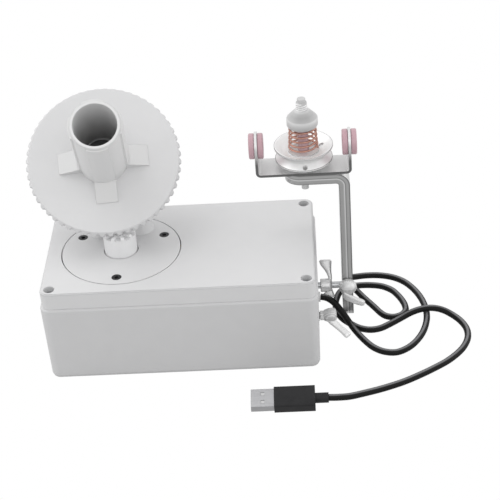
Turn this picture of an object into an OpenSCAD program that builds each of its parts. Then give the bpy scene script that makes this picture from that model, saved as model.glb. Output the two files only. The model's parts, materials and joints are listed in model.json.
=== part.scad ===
// Electric yarn ball winder: casing with a driven turntable, a tilted spool that rolls
// round a fixed centre gear, and a yarn guide with a tension unit on its right side.
// Origin: centre of the casing's underside. +X right along the casing, +Y to the back, +Z up.

/* [Casing] */
// Length of the casing along X
case_l = 158; // [150:1:170]
// Width of the casing along Y
case_w = 90; // [86:1:100]
// Height of the closed casing
case_h = 60; // [56:1:68]
// Height of the lid, from the seam to the top
lid_h = 10.4; // [9.5:0.1:12]
// Thickness of the casing's walls
wall = 2.5; // [2:0.1:3]
// Radius of the casing's upright corners
case_r = 6; // [5:0.5:8]
// How far the base's foot is drawn in by its draft
draft = 0.7; // [0.3:0.1:1.2]
// Rounding of the base's lower edge
foot_round = 2.4; // [1.5:0.1:3]
// Step from the base's widest line in to the lid's side
ledge = 1.1; // [0.8:0.1:1.6]
// Distance of the lid screws from the casing's outline
lid_screw_inset = 6.4; // [6:0.1:7]
// Radius of the lid screws' wells
well_r = 3.1; // [2.9:0.1:3.4]
// Depth of the lid screws' wells
well_depth = 5.6; // [4.5:0.1:6]

/* [Turntable] */
// Place of the turntable's axis along X, from the casing's middle
tt_x = -34.5; // [-36:0.5:-33]
// Place of the turntable's axis along Y
tt_y = -1.5; // [-2:0.5:0]
// Radius of the turntable plate
tt_r = 34.5; // [33.5:0.5:35]
// Thickness of the turntable plate
tt_t = 3; // [2.6:0.1:3.4]
// Gap round the plate and round the centre gear
seam_gap = 0.5; // [0.4:0.1:0.7]
// Radius of the circle of the turntable screws
tt_screw_circle = 27.8; // [27:0.1:28.5]
// Radius of a turntable screw's head
tt_screw_head_r = 2.85; // [2.7:0.05:3]

/* [Drive] */
// Module of the spur gears
gear_module = 1; // [0.95:0.01:1.02]
// Teeth of the drive gear under the turntable
drive_teeth = 64; // [60:4:64]
// Teeth of the motor pinion
pinion_teeth = 16; // [15:1:17]
// Face width of the drive gear
drive_gear_t = 6.5; // [6:0.1:7]
// Bore radius of the ball bearings
bearing_bore_r = 7.5; // [7.2:0.1:7.8]
// Outer radius of the ball bearings
bearing_out_r = 12; // [11.5:0.1:12.5]
// Width of a ball bearing
bearing_t = 5; // [4.5:0.1:5.5]
// Radius of the motor's can
motor_r = 12; // [11:0.1:12.4]
// Length of the motor's can
motor_len = 22; // [20:0.5:23.5]
// Length of the motor's gearbox
gearbox_len = 10; // [9:0.5:11]
// Radius of the gearbox's output shaft
motor_shaft_r = 2; // [1.8:0.1:2.2]

/* [Spool] */
// Tilt of the spool's axis from the upright
spool_tilt = 41.5; // [40:0.1:42.5]
// Turn of the spool's axis seen from above
spool_turn = 6.4; // [5:0.1:8]
// Place of the disc's rear plane from the turntable's axis, along X
disc_dx = -7.4; // [-8:0.1:-6.5]
// Place of the disc's rear plane from the turntable's axis, along Y
disc_dy = 26.1; // [25.6:0.1:27]
// Height of the disc's centre above the lid
disc_rise = 44; // [43.9:0.1:45]
// Radius over the disc's teeth
disc_r = 45; // [44:0.1:45.2]
// Teeth round the disc
disc_teeth = 56; // [50:2:60]
// Depth of the disc's teeth
disc_tooth = 1.2; // [1:0.1:1.8]
// Thickness of the disc
disc_t = 4; // [3.8:0.1:5]
// How far the disc's teeth draw in towards its front face
disc_bevel = 1.2; // [0.6:0.1:1.6]
// Length from the disc's rear plane to the core's mouth
core_len = 66; // [55:1:72]
// Radius of the core's bore
core_bore_r = 12.15; // [11.5:0.05:12.4]
// Thickness of the core's wall
core_wall = 2.1; // [1.8:0.1:2.6]
// Height of the raised bands over the core's wall
band_h = 0.9; // [0.5:0.1:1.4]
// Width of the raised bands and of the arms at the core's foot
band_w = 12.5; // [10:0.5:14]
// Reach of the foot's arms from the spool's axis
arm_reach = 26; // [24:0.5:29]
// Height of the foot's arms where they leave the core
arm_h = 5; // [4:0.5:8]
// Height of the foot's arms at their outer end
arm_end_h = 0.5; // [0.4:0.1:2]
// Depth of solid core over the disc's front face
core_floor = 3; // [2.5:0.5:6]
// Radius of the spindle
spindle_r = 3; // [2.6:0.1:3.4]
// Outer radius of the spindle's bush
bush_r = 5; // [4.6:0.1:5.4]

/* [Centre gear] */
// Radius of the fixed centre gear
sun_r = 9.5; // [9:0.1:9.8]
// Height of the centre gear's top above the lid
sun_rise = 13.4; // [12.5:0.1:13.6]
// Teeth on the centre gear's top
sun_teeth = 10; // [8:1:12]
// Depth of the centre gear's teeth
sun_tooth = 1.8; // [1.4:0.1:2.2]

/* [Yarn guide] */
// Width of the guide bar's strip
bar_w = 18.5; // [17:0.5:20]
// Thickness of the guide bar's strip
bar_t = 6.2; // [5.4:0.1:6.6]
// Distance of the bar's near face from the casing's side
bar_gap = 14.5; // [14:0.1:16]
// Height of the bar's lower end over the table
bar_foot_z = 2; // [1.5:0.1:3]
// Height of the bar's arm, at its top face
bar_top_z = 102.5; // [100:0.5:110]
// Outer radius of the bar's bend
bar_bend = 8; // [7.5:0.5:9]
// Length of the bar's arm, from its rounded end to the bar's outer face
bar_arm = 36.8; // [35:0.1:40]
// Thickness of the guide plate and its ears
plate_t = 1.5; // [1.2:0.1:2]
// Length of the guide plate over its ears
plate_l = 54.2; // [50:0.1:58]
// Distance of the plate's left face from the casing's right side
plate_in = 32.2; // [31:0.1:34]
// Height of the eyelets' axis above the plate
eyelet_rise = 14; // [13.5:0.5:17]
// Radius of the eyelets' flanges
eyelet_r = 7.35; // [7:0.05:8.2]
// Length of an eyelet
eyelet_l = 8.2; // [7.5:0.1:9.5]
// Radius of the eyelets' groove
eyelet_neck_r = 5.2; // [4.8:0.1:5.6]
// Radius of the eyelets' bore
eyelet_bore_r = 3.2; // [2.8:0.1:3.6]
// Width of the slot in the bar, in which the slide block sits
slot_w = 8.4; // [8:0.1:9]
// How far the bar can be raised on its slide block
slide_travel = 8; // [6:0.5:8]
// Length of the slide block
block_l = 23; // [21:0.5:23]

/* [Tension unit] */
// Distance of the tension stud from the plate's left face
stud_in = 27.5; // [26:0.1:29]
// Radius of the tension stud
stud_r = 3; // [2.8:0.1:3.4]
// Height of the tension stud's top above the plate
stud_rise = 43; // [40:0.1:46]
// Length of the thinner nib at the stud's top
stud_nib = 2.2; // [1.5:0.1:3]
// How far the stud's thin tip stands out under the arm
stud_tip = 7.4; // [5:0.2:8]
// Height at which the two tension discs meet, above the plate
discs_rise = 9.4; // [8.5:0.1:11]
// Radius of the upper tension disc
upper_disc_r = 16.7; // [15.5:0.1:18]
// Radius of the lower tension disc
lower_disc_r = 16.3; // [15:0.1:17]
// How far each disc's rim flares away from the other disc
disc_flare = 3.4; // [2.5:0.1:4]
// Thickness of the tension discs' sheet
sheet_t = 0.8; // [0.6:0.1:1]
// Height of the knob's underside above the plate
knob_rise = 26; // [24.5:0.1:28]
// Radius of the tension knob
knob_r = 8.8; // [8.5:0.1:10]
// Height of the tension knob
knob_h = 10.3; // [9:0.1:11]
// Radius of the spring's lower curl, at its wire's middle
spring_low_r = 8.2; // [7.6:0.1:8.6]
// Radius of the spring's upper curl, at its wire's middle
spring_top_r = 7.4; // [6.8:0.1:8]
// Thickness of the spring's wire
spring_wire = 1.1; // [0.9:0.1:1.3]
// Number of the spring's curls
spring_curls = 5; // [4:0.5:5]

/* [Side fittings] */
// Height of the fittings in the right wall
side_z = 19; // [18:0.5:24]
// Distance of the two threaded sockets in the right wall
socket_gap = 30; // [29:0.5:32]
// Radius of the threads in the side fittings
thread_r = 2; // [1.8:0.1:2.2]
// Height of the bar's lever screw above the stud
lever_bar_rise = 6.2; // [6:0.1:8.5]
// Radius of the lever fittings' hubs
hub_r = 4; // [3.6:0.1:4.6]
// Length of the lever fittings' hubs
hub_l = 7; // [6:0.1:7.4]
// Reach of a lever from its own axis
lever_reach = 13; // [12:0.5:13.5]
// Reach of the lever nut's long wing
nut_reach = 15.5; // [14:0.5:16]
// Reach of the lever nut's short second wing
wing_reach = 7.5; // [6.5:0.5:9]
// Distance of the wall screw's hub from its socket, bridged by a neck
neck_l = 2.4; // [1:0.1:3]

/* [Cord and plug] */
// Radius of the cord
cord_r = 1.95; // [1.8:0.05:2]
// Length of the plug's body
plug_l = 23; // [20:0.5:26]
// Width of the plug's body
plug_w = 14; // [13.5:0.5:16]
// Thickness of the plug's body
plug_t = 7.5; // [7:0.1:8.5]
// Roll of the plug, which lies on one edge
plug_roll = 14; // [8:1:14]
// Length of the plug's shell outside its body
shell_l = 13; // [11:0.5:14]
// Width of the plug's shell
shell_w = 12; // [11.5:0.1:12.5]
// Thickness of the plug's shell
shell_t = 4.5; // [4.2:0.1:4.8]

/* [Hidden] */
$fn = 64;
// Running clearance of a shaft in its hole
run_fit = 0.03;
// Clearance of a screw or a fixed pin in its hole
pin_fit = 0.05;
// Gap between parts that pass each other
pass_gap = 0.3;
// Sides of the round pieces that are hulled
hull_fn = 32;
// A little more than a wall, for cuts that run out of it
over = 1;

// Casing
seam_z = case_h - lid_h;
lid_under_z = case_h - wall;
floor_z = wall;
lid_x = case_l / 2 - lid_screw_inset;
lid_y = case_w / 2 - lid_screw_inset;
boss_r = 5;
lid_screw_r = 1.45;
lid_head_r = well_r - 0.2;
lid_head_h = 2;
lid_hole_depth = 11;
ledge_round = 1.2;
side_x = case_l / 2 - draft * (1 - side_z / seam_z);

// Centre post and drive, heights from the table
plate_z = case_h - tt_t;
gear_z = plate_z - drive_gear_t;
drive_pitch_r = gear_module * drive_teeth / 2;
pinion_pitch_r = gear_module * pinion_teeth / 2;
motor_x = tt_x + drive_pitch_r + pinion_pitch_r;
pad_h = 5.5;
pad_z = floor_z + pad_h;
pad_r = 17;
flange_r = 16;
flange_t = 3;
post_r = bearing_bore_r + 1.5;
post_screw_circle = 12.6;
post_screw_r = 1.5;
post_head_r = 2.6;
post_head_h = 2;
hub_wall = 3;
low_bearing_z = gear_z - 16.5;
top_bearing_z = plate_z - bearing_t - 1.5;
spigot_r = 5;
sun_z = plate_z;
sun_top_z = case_h + sun_rise;
spigot_top_z = sun_top_z - 3.6;
tt_screw_angles = [29, 149, 269];
tt_screw_r = 1.5;
tt_head_h = 1.9;
tt_head_sink = 0.2;
tt_screw_l = 6;

// Motor
bracket_t = 2;
bracket_top_z = gear_z - 5.5;
bracket_z = bracket_top_z - bracket_t;
bracket_l = 46;
bracket_w = 34;
bracket_post_x = 18;
bracket_post_y = 13;
bracket_post_r = 3.5;
gearbox_r = motor_r + 0.4;
gearbox_z = bracket_z - gearbox_len;
can_z = gearbox_z - motor_len;
motor_screw_y = 8.5;
small_screw_r = 1.25;
small_head_r = 2.3;
small_head_h = 1.6;
pinion_face = drive_gear_t - 0.4;
addendum = 0.8;
dedendum = 1.2;
tooth_half = 0.205;

// Circuit board
board_x = case_l / 2 - 30;
board_y = -2;
board_l = 26;
board_w = 46;
board_t = 1.6;
board_z = floor_z + 6;
board_hole_in = 3.5;
capacitor_r = 4;
capacitor_h = 11;

// Rocker switch in the back wall
switch_x = 38;
switch_z = 26;
bezel_w = 15;
bezel_h = 21;
bezel_t = 2;
bezel_sink = 1;
rocker_w = 8.4;
rocker_h = 14;
rocker_r = 9.5;
switch_body_w = 12.6;
switch_body_h = 18.6;
switch_depth = 14;
bezel_y = case_w / 2 - bezel_sink;
rocker_pin_r = 1;
rocker_pin_l = 12;
rocker_y = bezel_y + bezel_t - 3;

// Spool, along its own axis from the disc's rear plane
spool_at = [tt_x + disc_dx, tt_y + disc_dy, case_h + disc_rise];
core_r = core_bore_r + core_wall;
floor_s = disc_t + core_floor;
spigot_out_r = 7.5;
boss_top_s = -0.6;
boss_len = 14;
boss_out_r = 9;
spindle_low_s = -13;
spindle_top_s = floor_s + pass_gap;
washer_r = core_bore_r - 1.2;
washer_t = 0.8;
spindle_screw_r = 1.5;
spindle_screw_l = 8;
core_screw_circle = 18.5;
core_screw_r = 1.4;
core_head_r = 2.5;
core_head_h = 1.8;
core_screw_l = disc_t + 2.2;

// Yarn guide
bar_x0 = case_l / 2 + bar_gap;
bar_x1 = bar_x0 + bar_t;
bar_y = 10.5;
bar_foot_r = 4;
bend_x = bar_x1 - bar_bend;
bend_z = bar_top_z - bar_bend;
plate_top_z = bar_top_z + plate_t;
plate_x0 = case_l / 2 - plate_in;
plate_x1 = plate_x0 + plate_l;
ear_r = bar_w / 2 - 1;
ear_bend = 3;
eyelet_z = plate_top_z + eyelet_rise;
eyelet_slack = 0.1;
tension_x = plate_x0 + stud_in;

// Tension unit
meet_z = plate_top_z + discs_rise;
meet_gap = 0.3;
disc_flat_r = spring_low_r + spring_wire / 2 + 0.9;
disc_mid_r = 12.5;
spacer_r = 5.5;
tip_r = 2.1;
spring_seat_t = 0.5;
knob_z = plate_top_z + knob_rise;
knob_side_h = 5.1;
knob_top_r = 4.2;
stud_top_z = plate_top_z + stud_rise;

// Side fittings
stud_y = bar_y;
screw_y = stud_y - socket_gap;
cord_y = -1;
insert_r = 3.2;
insert_l = 9;
insert_out = 0.4;
wall_boss_r = 6;
slide_gap = 0.1;
block_z0 = side_z - 5;
lever_bar_z = side_z + lever_bar_rise;
lever_bar_x = (bar_x0 + bar_x1) / 2;
knurl_r = 5.2;
knurl_teeth = 24;
lever_r = 1.8;
wing_t = 2.6;
lock_nut_r = 4;
lock_nut_t = 3.2;
grommet_r = 3;
clamp_w = 9;
clamp_h = 5;
clamp_t = 5;

// Cord: the middle of the cord from the grommet to the plug, points chosen by hand
cord_start = [80, -1, 19];
cord_end = [82, -77.5, 5.3];
cord_points = [
    cord_start, [84, -1.6, 18.2], [87.9, -3.3, 16], [91.3, -5.8, 12.7], [94, -7.9, 9.3],
    [96.7, -11.2, 6.3], [100, -16.3, 4], [104.5, -23.3, 2.6], [109.5, -30.1, 2.1], [115.5, -34.6, 2.1],
    [122.5, -35.8, 2.1], [129, -32.6, 2.1], [134.5, -26.8, 2.1], [139.2, -18.5, 2.1], [142.2, -9, 2.1],
    [143.3, 0, 2.1], [142.7, 9, 2.1], [140.6, 18, 2.1], [137, 26.6, 2.1], [132, 34, 2.1],
    [125.5, 39, 2.1], [117.5, 41.7, 2.1], [109.5, 42.2, 2.1], [103.2, 40.2, 3], [99.1, 36.9, 4.7],
    [97.5, 32, 6], [99, 27.1, 6], [102.4, 23.2, 4.6], [106.4, 18, 3], [110.7, 11.8, 2.2],
    [113.3, 7.4, 2.1], [115.9, 2.8, 2.1], [119.2, -0.7, 2.1], [123.9, -1.8, 2.1], [128.3, 0.1, 2.1],
    [130.9, 4.1, 2.1], [131, 9, 2.1], [129.7, 14.4, 2.1], [127.4, 20, 2.1], [124, 25.6, 2.1],
    [118.4, 29.9, 2.1], [111.8, 31.7, 2.1], [104.8, 32, 2.1], [98, 30.8, 2.1], [92.8, 26.6, 2.1],
    [90.2, 20, 2.1], [89.2, 13, 2.1], [89.7, 6, 2.1], [92.5, -0.8, 2.1], [97, -6.3, 2.1],
    [102.4, -11.1, 2.1], [108.5, -13.3, 2.1], [114.8, -12.4, 2.2], [121, -8.9, 2.6], [127.5, -5, 3.5],
    [134.2, -2, 5.2], [140.6, -0.3, 6.1], [146.6, 0.2, 6.1], [152.6, -0.3, 4.7], [158.2, -3, 2.8],
    [162.6, -8.4, 2.1], [165.3, -16, 2.1], [165.3, -24, 2.1], [162.6, -31.9, 2.1], [158, -38.8, 2.1],
    [151.4, -45.6, 2.1], [143.6, -51.4, 2.1], [135, -57, 2.1], [124.8, -62.8, 2.1],
    [113.2, -67.7, 2.1], [102.6, -71.4, 2.3], [94, -74.8, 3.2], [87.5, -77, 4.7], cord_end
];
cord_steps = 1;
cord_sides = 8;

// Plug, whose middle line runs along X
plug_neck_l = 7.5;
plug_neck_r = 2.9;
plug_at = [cord_end[0] - plug_neck_l, cord_end[1], cord_end[2]];
plug_round = 1.6;
shell_sheet = 0.4;
tongue_t = 1.7;
shell_hole = 2.2;
shell_hole_gap = 5.4;
shell_hole_x = 6.4;

// Shared shapes

// A rectangle with round corners, made of true circles
module round_rect(l, w, r) {
    square([l - 2 * r, w], center = true);
    square([l, w - 2 * r], center = true);
    for (x = [-1, 1], y = [-1, 1]) translate([x * (l / 2 - r), y * (w / 2 - r)]) circle(r);
}

// A flat ring
module ring(r_out, r_in, h) {
    difference() {
        cylinder(r = r_out, h = h);
        translate([0, 0, -over]) cylinder(r = r_in, h = h + 2 * over);
    }
}

// A screw that points down from the underside of its head, at the origin
module screw(shank_r, shank_l, head_r, head_h) {
    translate([0, 0, -shank_l]) cylinder(r = shank_r, h = shank_l);
    difference() {
        cylinder(r = head_r, h = head_h);
        translate([0, 0, head_h * 0.45]) cylinder(r = head_r * 0.5, h = head_h, $fn = 6);
    }
}

// The outline of a spur gear with straight flanks
module gear_outline(teeth, module_size) {
    pitch_r = teeth * module_size / 2;
    tip_r = pitch_r + addendum * module_size;
    root_r = pitch_r - dedendum * module_size;
    step = 360 / teeth;
    polygon([for (i = [0:teeth - 1], k = [0:3])
        let (half = k == 0 || k == 3 ? step * (tooth_half + 0.12) : step * (tooth_half - 0.08),
             a = i * step + (k < 2 ? -half : half),
             r = k == 0 || k == 3 ? root_r : tip_r)
        [r * cos(a), r * sin(a)]]);
}

// The outline of a wheel with low teeth between a root and a tip radius
module toothed_outline(teeth, root_r, tip_r) {
    step = 360 / teeth;
    polygon([for (i = [0:teeth - 1], k = [0:3])
        let (half = k == 0 || k == 3 ? step * 0.38 : step * 0.16,
             a = i * step + (k < 2 ? -half : half),
             r = k == 0 || k == 3 ? root_r : tip_r)
        [r * cos(a), r * sin(a)]]);
}

// Places children in the spool's own frame, where +Z is the spool's axis
module at_spool() {
    translate(spool_at) rotate([spool_tilt, 0, spool_turn]) children();
}

module at_turntable() {
    translate([tt_x, tt_y, 0]) children();
}

module at_motor() {
    translate([motor_x, tt_y, 0]) children();
}

module at_tension() {
    translate([tension_x, bar_y, 0]) children();
}

// Swept tubes: a ring of points round each point of a path, joined into one closed skin

function unit(v) = v / norm(v);

function path_dir(p, i) =
    i == 0 ? unit(p[1] - p[0]) :
    i == len(p) - 1 ? unit(p[i] - p[i - 1]) :
    unit(unit(p[i + 1] - p[i]) + unit(p[i] - p[i - 1]));

// A point between b and c on a smooth curve through a, b, c and d
function smooth_point(a, b, c, d, t) =
    0.5 * (2 * b + (c - a) * t + (2 * a - 5 * b + 4 * c - d) * t * t
    + (3 * b - 3 * c + d - a) * t * t * t);

function smooth_path(p, steps) = concat(
    [for (i = [0:len(p) - 2], k = [0:steps - 1])
        smooth_point(p[max(i - 1, 0)], p[i], p[i + 1], p[min(i + 2, len(p) - 1)], k / steps)],
    [p[len(p) - 1]]);

// refs holds, for each point, a direction that is never along the path there
module swept_tube(p, refs, r, sides) {
    n = len(p);
    rings = [for (i = [0:n - 1])
        let (t = path_dir(p, i), s = unit(cross(t, refs[i])), u = cross(s, t))
        for (k = [0:sides - 1])
            let (a = 360 * (k + 0.5) / sides) p[i] + r * cos(a) * s + r * sin(a) * u];
    start_cap = [for (k = [1:sides - 2]) [0, k + 1, k]];
    end_cap = [for (k = [1:sides - 2])
        [(n - 1) * sides, (n - 1) * sides + k, (n - 1) * sides + k + 1]];
    skin = [for (i = [0:n - 2], k = [0:sides - 1])
        let (k2 = (k + 1) % sides, a = i * sides + k, b = i * sides + k2,
             c = (i + 1) * sides + k2, d = (i + 1) * sides + k)
        each [[a, b, c], [a, c, d]]];
    polyhedron(points = rings, faces = concat(start_cap, skin, end_cap), convexity = 10);
}

// Casing

module casing_outer(inset, z, h) {
    translate([0, 0, z]) linear_extrude(h)
        round_rect(case_l - 2 * inset, case_w - 2 * inset, max(case_r - inset, 1));
}

module casing_base() {
    skin = 0.01;
    color("whitesmoke") difference() {
        union() {
            difference() {
                hull() {
                    casing_outer(draft + foot_round, 0, skin);
                    casing_outer(draft + foot_round * 0.3, foot_round * 0.3, skin);
                    casing_outer(draft, foot_round, skin);
                    casing_outer(0, seam_z - ledge_round, skin);
                    casing_outer(ledge_round * 0.3, seam_z - ledge_round * 0.3, skin);
                    casing_outer(ledge_round, seam_z - skin, skin);
                }
                translate([0, 0, floor_z]) linear_extrude(case_h)
                    round_rect(case_l - 2 * (wall + draft), case_w - 2 * (wall + draft),
                               case_r - wall);
            }
            for (x = [-lid_x, lid_x], y = [-lid_y, lid_y])
                translate([x, y, floor_z - over]) cylinder(r = boss_r, h = seam_z - floor_z + over);
            at_turntable() translate([0, 0, floor_z - over]) cylinder(r = pad_r, h = pad_h + over);
            at_motor() for (x = [-1, 1], y = [-1, 1])
                translate([x * bracket_post_x, y * bracket_post_y, floor_z - over])
                    cylinder(r = bracket_post_r, h = bracket_z - floor_z + over);
            for (x = [-1, 1], y = [-1, 1])
                translate([board_x + x * (board_l / 2 - board_hole_in),
                           board_y + y * (board_w / 2 - board_hole_in), floor_z - over])
                    cylinder(r = 3, h = board_z - floor_z + over);
            for (y = [stud_y, screw_y]) translate([side_x - insert_l, y, side_z])
                rotate([0, 90, 0]) cylinder(r = wall_boss_r, h = insert_l - wall / 2);
        }
        for (x = [-lid_x, lid_x], y = [-lid_y, lid_y])
            translate([x, y, seam_z - lid_hole_depth])
                cylinder(r = lid_screw_r + pin_fit, h = lid_hole_depth + over);
        at_turntable() for (a = [0, 120, 240]) rotate(a)
            translate([post_screw_circle, 0, floor_z]) cylinder(r = post_screw_r + pin_fit, h = pad_h + over);
        at_motor() for (x = [-1, 1], y = [-1, 1])
            translate([x * bracket_post_x, y * bracket_post_y, bracket_z - 8])
                cylinder(r = small_screw_r + pin_fit, h = 8 + over);
        for (x = [-1, 1], y = [-1, 1])
            translate([board_x + x * (board_l / 2 - board_hole_in),
                       board_y + y * (board_w / 2 - board_hole_in), floor_z])
                cylinder(r = small_screw_r + pin_fit, h = board_z);
        for (y = [stud_y, screw_y]) translate([side_x - insert_l - over, y, side_z])
            rotate([0, 90, 0]) cylinder(r = insert_r + pin_fit, h = insert_l + 3 * over);
        translate([case_l / 2 - 3 * wall, cord_y, side_z]) rotate([0, 90, 0])
            cylinder(r = grommet_r - 0.6 + pin_fit, h = 4 * wall);
        translate([switch_x - bezel_w / 2 - pass_gap, bezel_y, switch_z - bezel_h / 2 - pass_gap])
            cube([bezel_w + 2 * pass_gap, case_w, bezel_h + 2 * pass_gap]);
        translate([switch_x - switch_body_w / 2 - pass_gap, case_w / 2 - 3 * wall,
                   switch_z - switch_body_h / 2 - pass_gap])
            cube([switch_body_w + 2 * pass_gap, 4 * wall, switch_body_h + 2 * pass_gap]);
    }
}

module casing_lid() {
    edge = 0.8;
    color("white") difference() {
        union() {
            difference() {
                union() {
                    casing_outer(ledge, seam_z, lid_h - edge);
                    casing_outer(ledge + edge * 0.3, seam_z, lid_h - edge * 0.3);
                    casing_outer(ledge + edge, seam_z, lid_h);
                }
                translate([0, 0, seam_z - over]) linear_extrude(lid_under_z - seam_z + over)
                    round_rect(case_l - 2 * (wall + ledge), case_w - 2 * (wall + ledge),
                               case_r - wall);
            }
            for (x = [-lid_x, lid_x], y = [-lid_y, lid_y])
                translate([x, y, seam_z]) cylinder(r = boss_r, h = lid_h - wall / 2);
        }
        at_turntable() translate([0, 0, seam_z - over])
            cylinder(r = tt_r + seam_gap, h = lid_h + 2 * over, $fn = 128);
        for (x = [-lid_x, lid_x], y = [-lid_y, lid_y]) {
            translate([x, y, case_h - well_depth]) cylinder(r = well_r, h = well_depth + over);
            translate([x, y, seam_z - over]) cylinder(r = lid_screw_r + pin_fit, h = lid_h);
        }
    }
}

module lid_screws() {
    color("silver") for (x = [-lid_x, lid_x], y = [-lid_y, lid_y])
        translate([x, y, case_h - well_depth])
            screw(lid_screw_r, case_h - well_depth - seam_z + lid_hole_depth - over, lid_head_r, lid_head_h);
}

// Turntable and drive

module centre_post() {
    color("gray") at_turntable() difference() {
        union() {
            translate([0, 0, pad_z]) cylinder(r = flange_r, h = flange_t);
            translate([0, 0, pad_z]) cylinder(r = post_r, h = low_bearing_z - pad_z);
            translate([0, 0, pad_z]) cylinder(r = bearing_bore_r, h = sun_z - pass_gap - pad_z);
            translate([0, 0, pad_z]) cylinder(r = spigot_r, h = spigot_top_z - pad_z);
        }
        for (a = [0, 120, 240]) rotate(a) translate([post_screw_circle, 0, pad_z - over])
            cylinder(r = post_screw_r + pin_fit, h = flange_t + 2 * over);
    }
}

module post_screws() {
    color("silver") at_turntable() for (a = [0, 120, 240]) rotate(a)
        translate([post_screw_circle, 0, pad_z + flange_t])
            screw(post_screw_r, flange_t + pad_h - over, post_head_r, post_head_h);
}

module sun_gear() {
    color("whitesmoke") at_turntable() difference() {
        union() {
            translate([0, 0, sun_z]) cylinder(r = sun_r, h = sun_top_z - sun_tooth - sun_z);
            translate([0, 0, sun_z]) cylinder(r = sun_r * 0.55, h = sun_top_z - 0.6 - sun_z);
            intersection() {
                translate([0, 0, sun_z]) linear_extrude(sun_top_z - sun_z)
                    toothed_outline(sun_teeth, sun_r * 0.5, sun_r * 1.1);
                translate([0, 0, sun_z]) rotate_extrude() polygon([
                    [0, 0], [sun_r, 0], [sun_r, sun_top_z - sun_z - 1], [sun_r - 1, sun_top_z - sun_z],
                    [0, sun_top_z - sun_z]]);
            }
        }
        translate([0, 0, sun_z - over]) cylinder(r = spigot_r + pin_fit / 2, h = spigot_top_z - sun_z + over);
    }
}

module turntable() {
    slab = 1.5;
    color("whitesmoke") difference() {
        union() {
            at_turntable() translate([0, 0, plate_z]) cylinder(r = tt_r, h = tt_t, $fn = 128);
            hull() {
                at_turntable() translate([-13, 19, case_h - over]) cylinder(r = 7, h = slab, $fn = hull_fn);
                at_turntable() translate([11, 21, case_h - over]) cylinder(r = 7, h = slab, $fn = hull_fn);
                at_spool() translate([0, 0, boss_top_s - boss_len])
                    cylinder(r = boss_out_r, h = boss_len - 3, $fn = hull_fn);
            }
            at_spool() translate([0, 0, boss_top_s - boss_len]) cylinder(r = boss_out_r, h = boss_len);
        }
        at_turntable() translate([0, 0, plate_z - over]) cylinder(r = sun_r + seam_gap, h = tt_t + over);
        at_turntable() for (a = tt_screw_angles) rotate(a) translate([tt_screw_circle, 0, 0]) {
            translate([0, 0, plate_z - over]) cylinder(r = tt_screw_r + pin_fit, h = tt_t + 2 * over);
            translate([0, 0, case_h - tt_head_h - tt_head_sink])
                cylinder(r = tt_screw_head_r + pin_fit, h = tt_head_h + over);
        }
        at_spool() translate([0, 0, spindle_low_s]) cylinder(r = spindle_r + pin_fit / 2, h = boss_len + over);
    }
}

module turntable_screws() {
    color("black") at_turntable() for (a = tt_screw_angles) rotate(a)
        translate([tt_screw_circle, 0, case_h - tt_head_h - tt_head_sink])
            screw(tt_screw_r, tt_screw_l, tt_screw_head_r, tt_head_h);
}

module drive_gear() {
    hub_r_out = bearing_out_r + hub_wall;
    lip_r = bearing_out_r - 1.5;
    color("ivory") at_turntable() difference() {
        union() {
            translate([0, 0, gear_z]) linear_extrude(drive_gear_t) rotate(180 / drive_teeth)
                gear_outline(drive_teeth, gear_module);
            translate([0, 0, low_bearing_z]) cylinder(r = hub_r_out, h = plate_z - low_bearing_z);
        }
        translate([0, 0, low_bearing_z - over]) cylinder(r = lip_r, h = plate_z - low_bearing_z + 2 * over);
        translate([0, 0, low_bearing_z - over]) cylinder(r = bearing_out_r, h = bearing_t + over);
        translate([0, 0, top_bearing_z]) cylinder(r = bearing_out_r, h = plate_z - top_bearing_z + over);
        for (a = tt_screw_angles) rotate(a) translate([tt_screw_circle, 0, gear_z - over])
            cylinder(r = tt_screw_r + pin_fit, h = drive_gear_t + 2 * over);
    }
}

module bearing(z) {
    color("silver") at_turntable() translate([0, 0, z])
        ring(bearing_out_r - pin_fit / 2, bearing_bore_r + run_fit, bearing_t);
}

// Motor

module motor_can() {
    color("silver") at_motor() {
        translate([0, 0, can_z]) cylinder(r = motor_r, h = motor_len);
        translate([0, 0, can_z - 1.5]) cylinder(r = motor_r * 0.35, h = 1.5 + over);
    }
}

module motor_gearbox() {
    color("dimgray") at_motor() difference() {
        translate([0, 0, gearbox_z]) cylinder(r = gearbox_r, h = gearbox_len);
        translate([0, 0, gearbox_z + 2]) cylinder(r = motor_shaft_r + run_fit, h = gearbox_len);
        for (y = [-1, 1]) translate([0, y * motor_screw_y, gearbox_z + gearbox_len - 6])
            cylinder(r = small_screw_r + pin_fit, h = 6 + over);
    }
}

module motor_shaft() {
    color("silver") at_motor() translate([0, 0, gearbox_z + 2 + pass_gap])
        cylinder(r = motor_shaft_r, h = plate_z - pass_gap - gearbox_z - 2 - pass_gap);
}

module motor_pinion() {
    color("goldenrod") at_motor() difference() {
        translate([0, 0, gear_z + 0.2]) linear_extrude(pinion_face) rotate(180)
            gear_outline(pinion_teeth, gear_module);
        translate([0, 0, gear_z - over]) cylinder(r = motor_shaft_r + pin_fit / 2, h = drive_gear_t + 2 * over);
    }
}

module motor_bracket() {
    color("lightgray") at_motor() difference() {
        translate([0, 0, bracket_z]) linear_extrude(bracket_t) round_rect(bracket_l, bracket_w, 4);
        translate([0, 0, bracket_z - over]) cylinder(r = motor_shaft_r + 1, h = bracket_t + 2 * over);
        for (y = [-1, 1]) translate([0, y * motor_screw_y, bracket_z - over])
            cylinder(r = small_screw_r + pin_fit, h = bracket_t + 2 * over);
        for (x = [-1, 1], y = [-1, 1])
            translate([x * bracket_post_x, y * bracket_post_y, bracket_z - over])
                cylinder(r = small_screw_r + pin_fit, h = bracket_t + 2 * over);
    }
}

module motor_screws() {
    color("silver") at_motor() for (y = [-1, 1]) translate([0, y * motor_screw_y, bracket_top_z])
        screw(small_screw_r, bracket_t + 5, small_head_r, small_head_h);
}

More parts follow.
